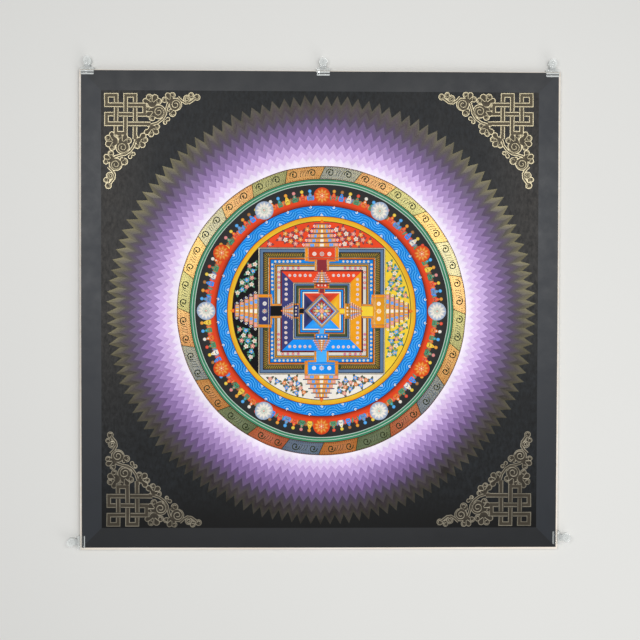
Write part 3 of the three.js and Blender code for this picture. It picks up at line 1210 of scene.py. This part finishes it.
# The bands of a wall from outside in: where each starts, as a share of the way through the wall, its pigment
# and its lightness. The inner palace is a smaller copy inside the court of the outer one.
OUTER_WALL = (
    (0.00, "chalk", 0.9), (0.05, "steel", 0.75), (0.20, "moss", 0.6), (0.42, "orange", 0.9),
    (0.50, "azure", 0.85), (0.66, "chalk", 0.9), (0.71, "amber", 0.9), (0.78, "chalk", 0.85),
    (0.94, "wine", 0.8),
)
INNER_WALL = (
    (0.00, "chalk", 1.0), (0.10, "steel", 0.9), (0.28, "moss", 0.8), (0.52, "orange", 1.0),
    (0.64, "azure", 1.0), (0.84, "chalk", 1.0),
)
INNER_SCALE = 0.45
# Rows of dots along the outer wall: the band and the share of its width, the pitch, the radius, and the
# pigments of the rim and the heart
BEADS = (
    (2.14, 2.2, 0.55, "ochre", "ochre"),
    (2.38, 2.3, 0.6, "ochre", "lemon"),
    (2.62, 2.2, 0.6, "ochre", "lemon"),
    (2.86, 2.3, 0.55, "ochre", "ochre"),
    (4.5, 5.2, 1.5, "chalk", "lemon"),
    (7.5, 6.6, 1.9, "rose", "coral"),
)
# The gates: the angle of each, its porch and its passage
GATES = ((0, "amber", "lemon"), (90, "coral", "wine"), (180, "indigo", "night"), (270, "azure", "sky"))
# Half widths of a gate, to its passage, its jambs, its porch and its posts, and the depth of the porch
PASSAGE, JAMB, PORCH, POST = 6.5, 8.8, 17.0, 21.0
PORCH_DEEP = 15.0
# How far a gate's posts stand out past its porch
SILL = 1.5
TIERS = 5
TIER_PANELS = ("rose", "azure", "orange", "chalk", "orange", "azure", "rose")
# How much each tier of a roof draws in at a side, the depth and the overhang of its eave, and the room left
# for the bud on top
TIER_STEP, EAVE, OVERHANG, BUD_ROOM = 3.4, 1.2, 2.2, 4.0
# How far the rows of dots along the wall keep from the middle of a gate
GATE_CLEAR = 24.0
# The row of blossoms in the court: its distance from the wall and from the middle of a gate, then as above
COURT_BEADS = (5.0, 12.0, 6.4, 2.0, "chalk", "rose")
# The turned square as a share of the court and the lotus as a share of the square, then the square's bands:
# where each starts and its pigment, and the width of a band
TURNED_SHARE, LOTUS_SHARE = 0.68, 0.72
TURNED_BANDS = ((1.0, "steel"), (0.93, "amber"), (0.86, "chalk"), (0.79, "azure"))
TURNED_BAND = 0.07


def gate_films(tone, light):
    """One gate, drawn along +X: passage, porch, posts and a roof of shrinking tiers."""
    court, wall, garden = sizes("court", "palace", "garden")
    body, detail, fine, gold = films(4)
    porch, middle = wall - PORCH_DEEP, wall - PORCH_DEEP / 2
    for start, end, half, tones in (
            (court, porch, PASSAGE, shades(light, 1.0, 1.0)), (porch, wall, PORCH, shades(tone, 0.8, 1.0))):
        body.strip([[(start, y), (end, y)] for y in (half, -half)], tones)
    for hand in (1, -1):
        for x0, y0, x1, y1 in (
                (porch - SILL, PORCH, wall + SILL, POST),
                (court + 1.0, PASSAGE, porch, JAMB),
                (porch - 2.3, JAMB, porch, PORCH)):
            panel = oblong(x0, hand * y0, x1, hand * y1)
            body.shape(panel, colour("orange"), colour("amber"))
            gold.gild(panel, 0.55, closed=True)
        detail.dot(middle, hand * 9.5, 2.6, colour("chalk"), colour(tone, 1.5), sides=12)
    step = (garden - BUD_ROOM - wall) / TIERS
    for k in range(TIERS):
        start, half = wall + SILL + step * k, POST - TIER_STEP * k
        end = start + step
        body.shape(oblong(start, -half, end - EAVE, half), colour("amber", 0.95), colour("lemon"))
        wide = half + OVERHANG
        detail.shape(oblong(end - EAVE, -wide, end, wide), colour("indigo"), colour("wine"))
        width = 2 * half / len(TIER_PANELS)
        for i, name in enumerate(TIER_PANELS):
            low = -half + width * i + 0.5
            detail.shape(oblong(start + 0.6, low, end - 1.8, low + width - 1.0), *shades(name, 1.0, 1.3))
        for hand in (1, -1):
            curl = spiral(start + step * 0.45, hand * (half + 2.4), 1.7, 1.1, 180, hand)
            fine.stroke(curl, 0.7, colour("chalk"))
        gold.gild([(start, -half), (start, half)], 0.5)
    bud = moved(petal(0, 5.0, 2.4), 0, (wall + SILL + step * TIERS, 0))
    fine.shape(bud, colour("coral"), colour("amber"))
    flower, heart = rosette(8, 3.6, 0.4, (light, 1.2), ("chalk",), ("coral",))
    detail.put(flower, shift=(middle, 0))
    fine.put(heart, shift=(middle, 0), scale=0.8)
    return body, detail, fine, gold


class PAINTING_OT_palace(bpy.types.Operator):
    """The square palace with its four gates, and the lotus in its court"""
    bl_idname = "painting.palace"
    bl_label = "Palace"

    def execute(self, context):
        wall, court = sizes("palace", "court")
        ground, bodies, details, fines, gold = films(5)
        walls = []
        for scale, bands in ((1.0, OUTER_WALL), (INNER_SCALE, INNER_WALL)):
            halves = [scale * (wall - (wall - court) * share) for share, _, _ in bands] + [scale * court]
            walls.append(halves)
            for outer, inner, (_, name, light) in zip(halves, halves[1:], bands):
                ground.strip((square(inner), square(outer)), shades(name, light, light * 0.85), closed=True)
                bodies.stroke(square(outer), 0.9, colour("night"), closed=True)
            for half in (halves[0], halves[3]):
                gold.gild(square(half), 0.6, closed=True)
            for turn, tone, light in GATES:
                for film, drawn in zip((bodies, details, fines, gold), gate_films(tone, light)):
                    film.put(drawn, turn, scale=scale)
        inner, heart = INNER_SCALE * wall, INNER_SCALE * court
        for turn, tone, light in GATES:
            side = moved([(inner, -inner), (court, -court), (court, court), (inner, inner)], turn)
            ground.shape(side, colour(tone))
            ground.shape(moved([(0, 0), (heart, -heart), (heart, heart)], turn), colour(tone), colour(light))
        self.beads(walls[0], bodies, details)
        self.lotus(heart, bodies, details, fines, gold)
        lay("palace_grounds", ground, 3)
        lay("palace_bodies", bodies, 4)
        lay("palace_details", details, 5)
        lay("palace_fine_work", fines, 6)
        lay("palace_gold", gold, 6, "gold")
        return {"FINISHED"}

    def beads(self, halves, bodies, details):
        """Rows of dots and blossoms along the bands of the wall and inside the court, clear of the gates."""
        lines = []
        for band, *row in BEADS:
            outer, inner = halves[int(band)], halves[int(band) + 1]
            lines.append((outer + (inner - outer) * (band % 1), GATE_CLEAR, *row))
        inset, *row = COURT_BEADS
        lines.append((halves[-1] - inset, *row))
        for across, clear, pitch, radius, rim, heart in lines:
            places = [(turn, hand, i) for turn in (0, 90, 180, 270) for hand in (1, -1)
                      for i in range(int((across - clear) / pitch))]
            for turn, hand, i in places:
                x, y = moved([(across, hand * (across - pitch * (i + 0.75)))], turn)[0]
                bodies.dot(x, y, radius, colour(rim, 1.0 if i % 2 else 0.8), colour(heart), sides=8)
                if radius > 1.0:
                    details.dot(x, y, radius * 0.35, colour("azure" if i % 2 else "chalk"), sides=6)

    def lotus(self, court, bodies, details, fines, gold):
        """The turned square, the rings of petals and the flower at the middle of the court."""
        turned = court * TURNED_SHARE
        for share, name in TURNED_BANDS:
            outer, inner = (square(turned * part, 45) for part in (share, share - TURNED_BAND))
            bodies.strip((inner, outer), shades(name, 1.0, 0.85), closed=True)
            gold.gild(outer, 0.45, closed=True)
        heart = turned * LOTUS_SHARE
        bodies.shape(square(heart, 45), colour("wine"), colour("coral"))
        for film, count, inner, outer, names in (
                (details, 16, 0.62, 0.98, ("leaf", "rose")), (fines, 8, 0.30, 0.76, ("lemon", "azure"))):
            leaves = films(len(names))
            for leaf, name in zip(leaves, names):
                outline = petal(heart * inner, heart * outer, math.pi * heart * outer * 0.72 / count)
                leaf.shape(outline, *shades(name, 0.8, 1.5))
            film.round(leaves, count)
        for part in rosette(8, heart * 0.34, 0.5, ("orange",), ("chalk",), ("coral",)):
            fines.put(part)
        gold.gild(circle(heart * 0.98, 72), 0.5, closed=True)


# The gold ornaments in the corners

# The knot's lattice, the width of its ribbon and of the gold edge that shows round it, and its inset
KNOT_PITCH = 11.9
RIBBON = 5.6
OUTLINE = 1.0
KNOT_INSET = 3.2
# The strand of the endless knot on its lattice, from one loose end to the other
KNOT_STRAND = (
    (3, 4.6), (3, 0), (2, 0), (2, 4), (1, 4), (1, 0), (0, 0), (0, 1), (4, 1), (4, 2), (0, 2), (0, 3),
    (4.6, 3),
)
# The gap beside a ribbon that another crosses
KNOT_GAP = 0.55
# One arm of a corner, from its knot along the field's edge. A round form is given by its place along the
# edge, its place inwards and its radius: a cloud as its heart and its lobes in order, then the scrolls.
CLOUDS = (
    ((63.2, 15.0, 6.6), ((54.8, 12.9, 3.6), (59.6, 8.3, 4.2), (66.6, 8.6, 4.2), (71.0, 13.2, 4.2))),
    ((64.5, 26.0, 6.0), ((62.6, 33.8, 4.2), (58.2, 29.4, 3.9), (57.6, 22.6, 3.8))),
    ((85.5, 11.6, 5.2), ((78.6, 11.3, 3.8), (82.8, 5.9, 3.6), (88.8, 5.6, 3.7))),
    ((62.8, 47.4, 5.2), ((56.5, 51.8, 3.9), (61.5, 54.4, 3.7), (67.6, 51.2, 3.8), (69.0, 44.8, 3.7))),
    ((85.6, 25.0, 2.4), ((88.6, 28.3, 4.6),)),
    ((80.0, 36.6, 1.6), ((82.8, 35.4, 2.7), (78.9, 39.6, 2.7))),
    ((112.0, 9.0, 2.0), ((112.0, 5.6, 3.5),)),
    ((117.0, 9.8, 1.6), ((119.2, 8.4, 4.2),)),
)
SCROLLS = ((70.9, 26.3, 9.0), (92.2, 17.4, 8.4), (106.9, 10.3, 5.0))
STEMS = (
    ((56.0, 43.6), (61.0, 43.0), (69.0, 40.4), (75.6, 35.6), (79.4, 29.6), (80.7, 23.0), (82.5, 17.0),
     (86.2, 12.4)),
    ((95.4, 8.2), (100.0, 12.8), (104.8, 15.6), (110.0, 15.0), (114.6, 11.6), (118.4, 8.8)),
)
STEM = 3.6
# Painted shade: the lower corners' dull gold is painted darker and greyer than the upper, as it catches less
# light
LOWER_CORNER_SHADE = (0.8, 0.82, 0.95)
# How far each corner's ornament is moved in from the field's sides, as its maker placed it by eye
CORNERS = {(-1, 1): (0.8, 0.2), (1, 1): (3.8, -2.4), (-1, -1): (2.8, -1.4), (1, -1): (3.5, -1.0)}


def knot_runs():
    """The strand in millimetres, cut where it dives under itself."""
    def place(point):
        return tuple(KNOT_INSET + RIBBON / 2 + KNOT_PITCH * c for c in point)

    runs = [[place(KNOT_STRAND[0])]]
    clear = RIBBON / 2 + KNOT_GAP
    for a, b in zip(KNOT_STRAND, KNOT_STRAND[1:]):
        axis = 1 if a[0] == b[0] else 0
        way = 1 if b[axis] > a[axis] else -1
        line = a[1 - axis]
        for cross in (1, 2, 3)[::way]:
            passed = min(a[axis], b[axis]) < cross < max(a[axis], b[axis])
            over = (cross + line) % 2 == axis
            if not passed or line not in (1, 2, 3) or over:
                continue
            spot = place((line, cross) if axis else (cross, line))
            stop, go = list(spot), list(spot)
            stop[axis] -= way * clear
            go[axis] += way * clear
            runs[-1].append(tuple(stop))
            runs.append([tuple(go)])
        runs[-1].append(place(b))
    return runs


def ribbon(rim, fill, path, width):
    """A flat ribbon: a gold band with its dull body laid over it, so that only the gold edges show."""
    rim.stroke(path, width, colour("gold"))
    fill.stroke(path, width - 2 * OUTLINE, colour("bronze"))


def boss(rim, fill, x, y, radius, light, sides):
    """A round form with a gold edge, darker to its middle."""
    rim.dot(x, y, radius, colour("gold"), sides=sides)
    fill.dot(x, y, radius - OUTLINE, *shades("bronze", light, 0.5), sides=sides)


def cloud(rim, fill, lines, heart, lobes):
    """A cloud of lobes round its heart. Gold lines part its lobes, and every other lobe curls in."""
    middle = Vector(heart[:2])
    for form in (heart, *lobes):
        boss(rim, fill, *form, 1.0, 20)
    for i, (x, y, radius) in enumerate(lobes):
        inwards = middle - Vector((x, y))
        if inwards.length < heart[2] + radius - OUTLINE:
            fill.stroke([(x, y), heart[:2]], 1.5 * (radius - OUTLINE), colour("bronze", 0.65))
        if (len(lobes) - i) % 2:
            way = math.degrees(math.atan2(inwards.y, inwards.x))
            lines.gild(arc(x, y, radius * 0.5, way - 200, way + 40, 10), OUTLINE * 0.8)
    for a, b in zip(lobes, lobes[1:]):
        halfway = (Vector(a[:2]) + Vector(b[:2])) / 2
        cusp = halfway + (halfway - middle).normalized() * a[2] * 0.5
        lines.gild([tuple(cusp), tuple(cusp.lerp(middle, 0.85))], OUTLINE)


def corner_films():
    """One corner's ornament: x runs along the field's edge and y inwards, and its halves are alike about its
    diagonal. Its films are the gold that shows as rims, the dull bodies and the gold lines on them."""
    whole = films(3)
    for run in knot_runs():
        ribbon(*whole[:2], run, RIBBON)
    rim, fill, lines = arm = films(3)
    for heart, lobes in CLOUDS:
        cloud(rim, fill, lines, heart, lobes)
    for stem in STEMS:
        ribbon(rim, fill, stem, STEM)
    for x, y, radius in SCROLLS:
        boss(rim, fill, x, y, radius, 0.9, 24)
        lines.gild(spiral(x, y, radius * 0.8, 1.6, 75, -1, steps=30), OUTLINE)
    for film, part in zip(whole, arm):
        film.put(part)
        film.add([(y, x, z) for x, y, z in part.points], part.colours, [face[::-1] for face in part.faces])
    return whole


class PAINTING_OT_corners(bpy.types.Operator):
    """The endless knots and cloud scrolls in gold at the four corners of the field"""
    bl_idname = "painting.corners"
    bl_label = "Corners"

    def execute(self, context):
        inside = HALF_SIDE - size("border", "cloth")
        rims, fills, lines = totals = films(3)
        for total, film in zip(totals, corner_films()):
            for (right, up), (in_x, in_y) in CORNERS.items():
                far_x, far_y = inside - in_x, inside - in_y
                points = [(right * (far_x - x), up * (far_y - y), z) for x, y, z in film.points]
                tones = film.colours
                # Painted shade darkens the gold of the lower corners
                if up < 0:
                    tones = [tuple(c * share for c, share in zip(tone, LOWER_CORNER_SHADE)) for tone in tones]
                total.add(points, tones, [face[::right * up] for face in film.faces])
        lay("corner_rims", rims, 1, "gold", middle=(0.0, 0.0))
        lay("corner_ribbons", fills, 2, "gilded", middle=(0.0, 0.0))
        lay("corner_lines", lines, 3, "gold", middle=(0.0, 0.0))
        return {"FINISHED"}


# The board and the clips

def copy_of_node(name, node):
    """A new object with a merged copy of a node's mesh, its flat faces whole again."""
    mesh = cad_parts[node].data.copy()
    mesh.name = name
    mesh.materials.clear()
    shape = bmesh.new()
    shape.from_mesh(mesh)
    bmesh.ops.remove_doubles(shape, verts=shape.verts, dist=TINY)
    bmesh.ops.dissolve_limit(shape, angle_limit=math.radians(1), verts=shape.verts, edges=shape.edges)
    shape.to_mesh(mesh)
    shape.free()
    return new_object(name, mesh)


def ease_edges(obj, width, slot=-1):
    """Rounds an object's sharp edges, and gives the rounding a material slot of its own if one is named."""
    bevel = obj.modifiers.new("eased edges", "BEVEL")
    bevel.width = width
    bevel.segments = 2
    bevel.limit_method = "ANGLE"
    bevel.angle_limit = math.radians(35)
    bevel.harden_normals = True
    bevel.material = slot
    obj.data.polygons.foreach_set("use_smooth", [True] * len(obj.data.polygons))
    return keep_result(obj)


class PAINTING_OT_board(bpy.types.Operator):
    """The plywood board behind the canvas, its edges eased with sandpaper"""
    bl_idname = "painting.board"
    bl_label = "Board"

    def execute(self, context):
        obj = copy_of_node("plywood_board", "board")
        obj.data.materials.append(material("plywood"))
        ease_edges(obj, settings("fittings").board_ease)
        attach(obj, BODY)
        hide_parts("board")
        return {"FINISHED"}


CLIP_SLOTS = ("grip_highlight", "edge", "clear", "thick")
# Where a jaw's plastic is made milky as painted highlight, in millimetres in from the board's edge: its rib
# and lip along the top, where they catch the light, and only its lip at the sides
JAW_HIGHLIGHT_BARS = {"top": ((1.4, 3.1), (4.7, 6.6)), "left": ((5.7, 6.6),), "right": ((5.7, 6.6),)}


class PAINTING_OT_clips(bpy.types.Operator):
    """The moulded halves of the clips, with the soft edges that come out of a mould"""
    bl_idname = "painting.clips"
    bl_label = "Clips"

    def execute(self, context):
        for clip in CLIP_NAMES:
            for half in ("front", "back"):
                node = f"{clip}_{half}"
                obj = copy_of_node(f"clear_{node}", node)
                for name in CLIP_SLOTS:
                    obj.data.materials.append(material(name))
                self.mark_plastic(obj.data, clip)
                # The rounding takes the grey edge plastic, as painted shade
                ease_edges(obj, settings("fittings").clip_ease, CLIP_SLOTS.index("edge"))
                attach(obj, BODY)
                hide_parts(node)
        return {"FINISHED"}

    def mark_plastic(self, mesh, clip):
        """Gives a half's faces their plastic by how far in from the board's edge they lie."""
        low, high = (Vector(corner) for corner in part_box("board"))
        edge, _ = clip_edge(clip)
        bars = JAW_HIGHLIGHT_BARS[edge]
        start = low if edge == "left" else high
        inward = Vector({"top": (0, -1, 0), "left": (1, 0, 0), "right": (-1, 0, 0)}[edge])
        shape = bmesh.new()
        shape.from_mesh(mesh)
        for depth in (0.0, *(depth for bar in bars for depth in bar)):
            bmesh.ops.bisect_plane(shape, geom=[*shape.verts, *shape.edges, *shape.faces],
                                   plane_co=start + inward * depth * MM, plane_no=inward)
        for face in shape.faces:
            depth = (face.calc_center_median() - start).dot(inward) / MM
            # Faces in a bar take the milky plastic of the painted highlight
            thick = any(near <= depth <= far for near, far in bars)
            face.material_index = CLIP_SLOTS.index("grip_highlight" if depth < 0 else "thick" if thick else "clear")
        shape.to_mesh(mesh)
        shape.free()


class PAINTING_OT_springs(bpy.types.Operator):
    """The coiled wire springs in the clips' hinges"""
    bl_idname = "painting.springs"
    bl_label = "Clip springs"

    def execute(self, context):
        fittings = settings("fittings")
        wire = fittings.wire / 2
        for clip in CLIP_NAMES:
            node = f"{clip}_spring"
            low, high = (Vector(corner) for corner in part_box(node))
            span = high - low
            obj = new_object(f"wire_{node}", bpy.data.meshes.new(node))
            apply_tree(obj, "spring", Turns=fittings.turns, Radius=span.z / 2 - wire, Wire=wire,
                       Length=max(span) - 2 * wire, Paint=material("wire"))
            turn = Matrix.Rotation(0.0 if span.x > span.y else math.pi / 2, 4, "Z")
            obj.data.transform(Matrix.Translation((low + high) / 2) @ turn)
            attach(obj, BODY)
            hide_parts(node)
        return {"FINISHED"}


# The stage, in metres

FLOOR_HALF = 3.0
LAMPS = {"left lamp": (-0.5, 0.2, 1.7), "right lamp": (0.5, 0.2, 1.7)}
LAMP_WIDTH = 0.5
FILL, FILL_WIDTH = (1.2, -1.35, 1.4), 1.5
# The camera hangs over the middle of the painting, held a little aslant as a camera in the hand is
CAMERA_SHIFT = (-0.0325, 0.0255)
CAMERA_TURN = (-1.375, -1.174, 0.145)


def area_light(name, place, width, power):
    """A square soft light that looks at the middle of the floor."""
    data = bpy.data.lights.new(name, "AREA")
    data.size = width
    data.energy = power
    obj = new_object(name, data)
    obj.location = place
    obj.rotation_euler = (-Vector(place)).to_track_quat("-Z", "Y").to_euler()
    return obj


class PAINTING_OT_stage(bpy.types.Operator):
    """Pale floor, soft light and a camera straight over the painting"""
    bl_idname = "painting.stage"
    bl_label = "Stage"

    def execute(self, context):
        stage = settings("stage")
        scene = context.scene
        mesh = bpy.data.meshes.new("pale_floor")
        mesh.from_pydata([(x, y, 0) for x, y in square(FLOOR_HALF)], [], [range(4)])
        mesh.materials.append(material("floor"))
        new_object("pale_floor", mesh)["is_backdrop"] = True

        for name, place in LAMPS.items():
            area_light(name, place, LAMP_WIDTH, stage.lamp_power)
        area_light("fill", FILL, FILL_WIDTH, stage.fill_power).visible_glossy = False
        world = bpy.data.worlds.new("even light")
        world.use_nodes = True
        sky = {"Color": (1.0, 1.0, 1.0, 1.0), "Strength": stage.sky_strength}
        feed(world.node_tree, world.node_tree.nodes["Background"], sky)
        scene.world = world
        scene.view_settings.view_transform = "Standard"

        data = bpy.data.cameras.new("camera")
        data.lens = stage.lens
        data.sensor_width = 36.0
        camera = new_object("camera", data)
        face = Vector((MIDDLE.x, MIDDLE.y, CANVAS_LOW.z + settings("cloth").thickness))
        camera.location = face + Vector((*CAMERA_SHIFT, stage.height))
        camera.rotation_euler = [math.radians(angle) for angle in CAMERA_TURN]
        scene.camera = camera
        return {"FINISHED"}


class PAINTING_PT_panel(bpy.types.Panel):
    """Steps and settings of the painting"""
    bl_label = "Painting"
    bl_idname = "PAINTING_PT_panel"
    bl_space_type = "VIEW_3D"
    bl_region_type = "UI"
    bl_category = "Painting"

    def draw(self, context):
        for step in STEPS:
            self.layout.operator(step.bl_idname)
        for group, kind in GROUPS.items():
            box = self.layout.box()
            box.label(text=kind.__doc__)
            for name in kind.__annotations__:
                box.prop(getattr(context.scene, group), name)


STEPS = (
    PAINTING_OT_canvas, PAINTING_OT_halo, PAINTING_OT_rings, PAINTING_OT_palace, PAINTING_OT_corners,
    PAINTING_OT_board, PAINTING_OT_clips, PAINTING_OT_springs, PAINTING_OT_stage,
)
CLASSES = (*GROUPS.values(), *STEPS, PAINTING_PT_panel)


def register():
    for kind in CLASSES:
        bpy.utils.register_class(kind)
    for group, kind in GROUPS.items():
        setattr(bpy.types.Scene, group, bpy.props.PointerProperty(type=kind))


def unregister():
    for group in GROUPS:
        delattr(bpy.types.Scene, group)
    for kind in reversed(CLASSES):
        bpy.utils.unregister_class(kind)


def main():
    register()
    for step in STEPS:
        family, name = step.bl_idname.split(".")
        getattr(getattr(bpy.ops, family), name)()
    boxes = {"cad": CAD_BOX, "visual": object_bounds()}
    {name: [[float(c) for c in corner] for corner in box] for name, box in boxes.items()}


if __name__ == "__main__":
    main()
